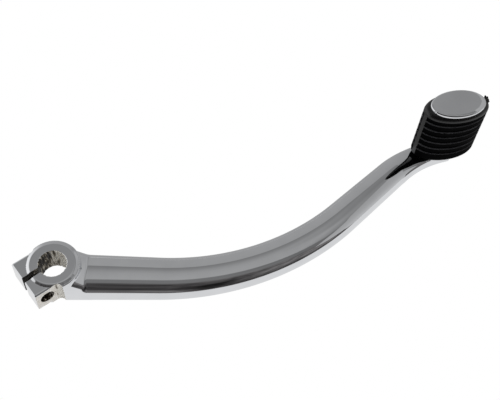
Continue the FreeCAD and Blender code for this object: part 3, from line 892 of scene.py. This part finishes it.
# Brightness of the walls by turn
WALLS = [
    (-90, 0.90), (-62, 1.0), (-52, 0.95), (-42, 0.75), (-28, 0.40), (-10, 0.38), (4, 0.35),
    (9, 0.34), (12, 0.30), (15, 0.31), (19, 0.44), (27, 0.44), (34, 0.39), (60, 0.46), (90, 0.62),
]

# Brightness of the roof and the open front by rise: the part that the left and the middle share,
# then the middle, the left, the right and the far right
FRONT_LOW = [
    (93, 0.20), (106, 0.19), (112, 0.095), (118, 0.063), (136, 0.065), (146, 0.042), (154, 0.046),
    (160, 0.12), (166, 0.17), (178, 0.15),
]
FRONT_MIDDLE = [
    (50, 0.215), (53, 0.235), (58, 0.265), (64, 0.32), (72, 0.37), (82, 0.39), (91, 0.40),
] + FRONT_LOW
FRONT_LEFT = [
    (50, 0.21), (58, 0.24), (64, 0.27), (72, 0.31), (82, 0.35), (91, 0.38),
] + FRONT_LOW
FRONT_RIGHT = [
    (56, 0.15), (64, 0.23), (70, 0.27), (76, 0.36), (91, 0.39), (93, 0.17), (106, 0.20),
    (112, 0.15), (118, 0.085), (130, 0.066), (136, 0.030), (142, 0.013), (154, 0.019),
    (172, 0.042), (178, 0.14),
]
FRONT_SIDE = [
    (70, 0.20), (88, 0.24), (93, 0.17), (106, 0.165), (118, 0.135), (130, 0.17), (142, 0.17),
    (148, 0.15), (154, 0.12), (160, 0.093), (166, 0.06), (172, 0.057), (178, 0.11),
]

# Turns over which each part of the front gives way to the next, and rises over which the plain
# roof gives way to the cluttered room
LEFT_TO_MIDDLE = (-14, -5)
MIDDLE_TO_RIGHT = (8, 18)
RIGHT_TO_SIDE = (24, 38)
ROOF_TO_ROOM = (104, 116)
CLUTTER_SCALE = 15.0
CLUTTER_DETAIL = 4.0
CLUTTER_DARK = 0.4
CLUTTER_LIGHT = (1.62, 1.53, 1.52)


def add_curve(nodes, links, source, points, low=0, scale=1.0):
    greys = [((at - low) / HALF_TURN, (level / scale,) * 3) for at, level in points]
    return add_ramp(nodes, links, source, greys)


def add_step(nodes, links, source, span, low=0):
    # From 0 to 1 over a span of degrees
    start, end = [(at - low) / HALF_TURN for at in span]
    return add_range(nodes, links, source, 0.0, 1.0, start, end)


def add_mix(nodes, links, share, first, second):
    mix = nodes.new("ShaderNodeMix")
    mix.data_type = "RGBA"
    wanted = (("Factor", "VALUE", share), ("A", "RGBA", first), ("B", "RGBA", second))
    for name, kind, value in wanted:
        socket = next(s for s in mix.inputs if s.name == name and s.type == kind)
        if isinstance(value, tuple):
            socket.default_value = value
        else:
            links.new(value, socket)
    return next(s for s in mix.outputs if s.type == "RGBA")


def add_room(nodes, links, place, front):
    # The unlit room behind the open front is cluttered, and a little warm where it is lightest
    clutter = nodes.new("ShaderNodeTexNoise")
    clutter.inputs["Scale"].default_value = CLUTTER_SCALE
    clutter.inputs["Detail"].default_value = CLUTTER_DETAIL
    links.new(place, clutter.inputs["Vector"])
    gains = nodes.new("ShaderNodeCombineXYZ")
    for socket, light in zip(gains.inputs, CLUTTER_LIGHT):
        links.new(add_range(nodes, links, clutter.outputs["Fac"], CLUTTER_DARK, light), socket)
    room = nodes.new("ShaderNodeVectorMath")
    room.operation = "MULTIPLY"
    links.new(front, room.inputs[0])
    links.new(gains.outputs[0], room.inputs[1])
    return room.outputs[0]


def add_world():
    world = bpy.data.worlds.new("studio")
    bpy.context.scene.world = world
    world.use_nodes = True
    nodes, links = world.node_tree.nodes, world.node_tree.links
    place = nodes.new("ShaderNodeTexCoord")
    parts = nodes.new("ShaderNodeSeparateXYZ")
    links.new(place.outputs["Generated"], parts.inputs[0])
    rise = add_math(nodes, links, "ARCTAN2", parts.outputs["Z"], parts.outputs["Y"])
    rise = add_math(nodes, links, "DIVIDE", rise, math.pi)
    turn = add_math(nodes, links, "ARCSINE", parts.outputs["X"])
    turn = add_math(nodes, links, "DIVIDE", turn, math.pi)
    turn = add_math(nodes, links, "ADD", turn, RIGHT_ANGLE / HALF_TURN)
    wall_end = add_curve(nodes, links, turn, WALL_END, -RIGHT_ANGLE, HALF_TURN)
    walls = add_curve(nodes, links, turn, WALLS, -RIGHT_ANGLE)
    middle = add_curve(nodes, links, rise, FRONT_MIDDLE)
    left = add_curve(nodes, links, rise, FRONT_LEFT)
    right = add_curve(nodes, links, rise, FRONT_RIGHT)
    side = add_curve(nodes, links, rise, FRONT_SIDE)
    from_left = add_step(nodes, links, turn, LEFT_TO_MIDDLE, -RIGHT_ANGLE)
    to_right = add_step(nodes, links, turn, MIDDLE_TO_RIGHT, -RIGHT_ANGLE)
    to_side = add_step(nodes, links, turn, RIGHT_TO_SIDE, -RIGHT_ANGLE)
    front = add_mix(nodes, links, from_left, left, middle)
    front = add_mix(nodes, links, to_right, front, right)
    front = add_mix(nodes, links, to_side, front, side)
    to_room = add_step(nodes, links, rise, ROOF_TO_ROOM)
    room = add_room(nodes, links, place.outputs["Generated"], front)
    front = add_mix(nodes, links, to_room, front, room)
    above = add_math(nodes, links, "SUBTRACT", rise, wall_end)
    above = add_step(nodes, links, above, (-WALL_END_BLUR, WALL_END_BLUR))
    studio = add_mix(nodes, links, above, walls, front)
    path = nodes.new("ShaderNodeLightPath")
    seen = add_mix(nodes, links, path.outputs["Is Camera Ray"], studio, (1, 1, 1, 1))
    links.new(seen, nodes["Background"].inputs["Color"])


def add_lamp(name, place, aim, size, power):
    lamp = bpy.data.lights.new(name, "AREA")
    lamp.size = size
    lamp.energy = power
    holder = bpy.data.objects.new(name, lamp)
    holder.location = place
    holder.rotation_euler = (Vector(aim) - Vector(place)).to_track_quat("-Z", "Y").to_euler()
    holder.visible_glossy = False
    bpy.context.scene.collection.objects.link(holder)


SOFTBOX_AT = (0.1, 0.05, 0.8)
SOFTBOX_AIM = (0.11, 0.05, 0.0)
SOFTBOX_SIZE = 0.9
SOFTBOX_POWER = 6.0

CAMERA_AT = (0.106826, -0.229372, 0.47718)
CAMERA_DOWN = math.radians(58.278)
CAMERA_ROLL = math.radians(-5.557)
CAMERA_LENS = 65.633
CAMERA_SENSOR = 36.0
CAMERA_CLIP = 0.01


def add_camera():
    ahead = Vector((0, math.cos(CAMERA_DOWN), -math.sin(CAMERA_DOWN)))
    right = Vector((1, 0, 0))
    down = ahead.cross(right)
    c, s = math.cos(CAMERA_ROLL), math.sin(CAMERA_ROLL)
    image_x = c * right + s * down
    image_y = c * down - s * right
    camera = bpy.data.cameras.new("photo_camera")
    camera.lens = CAMERA_LENS
    camera.sensor_width = CAMERA_SENSOR
    camera.sensor_fit = "HORIZONTAL"
    camera.clip_start = CAMERA_CLIP
    holder = bpy.data.objects.new("photo_camera", camera)
    turn = Matrix((image_x, -image_y, -ahead)).transposed().to_4x4()
    holder.matrix_world = Matrix.Translation(CAMERA_AT) @ turn
    bpy.context.scene.collection.objects.link(holder)
    bpy.context.scene.camera = holder


add_floor()
add_world()
add_lamp("overhead_softbox", SOFTBOX_AT, SOFTBOX_AIM, SOFTBOX_SIZE, SOFTBOX_POWER)
add_camera()
bpy.context.scene.view_settings.view_transform = "Standard"

boxes = {"cad": cad_box, "visual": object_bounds()}
boxes = {name: [[float(n) for n in corner] for corner in box] for name, box in boxes.items()}
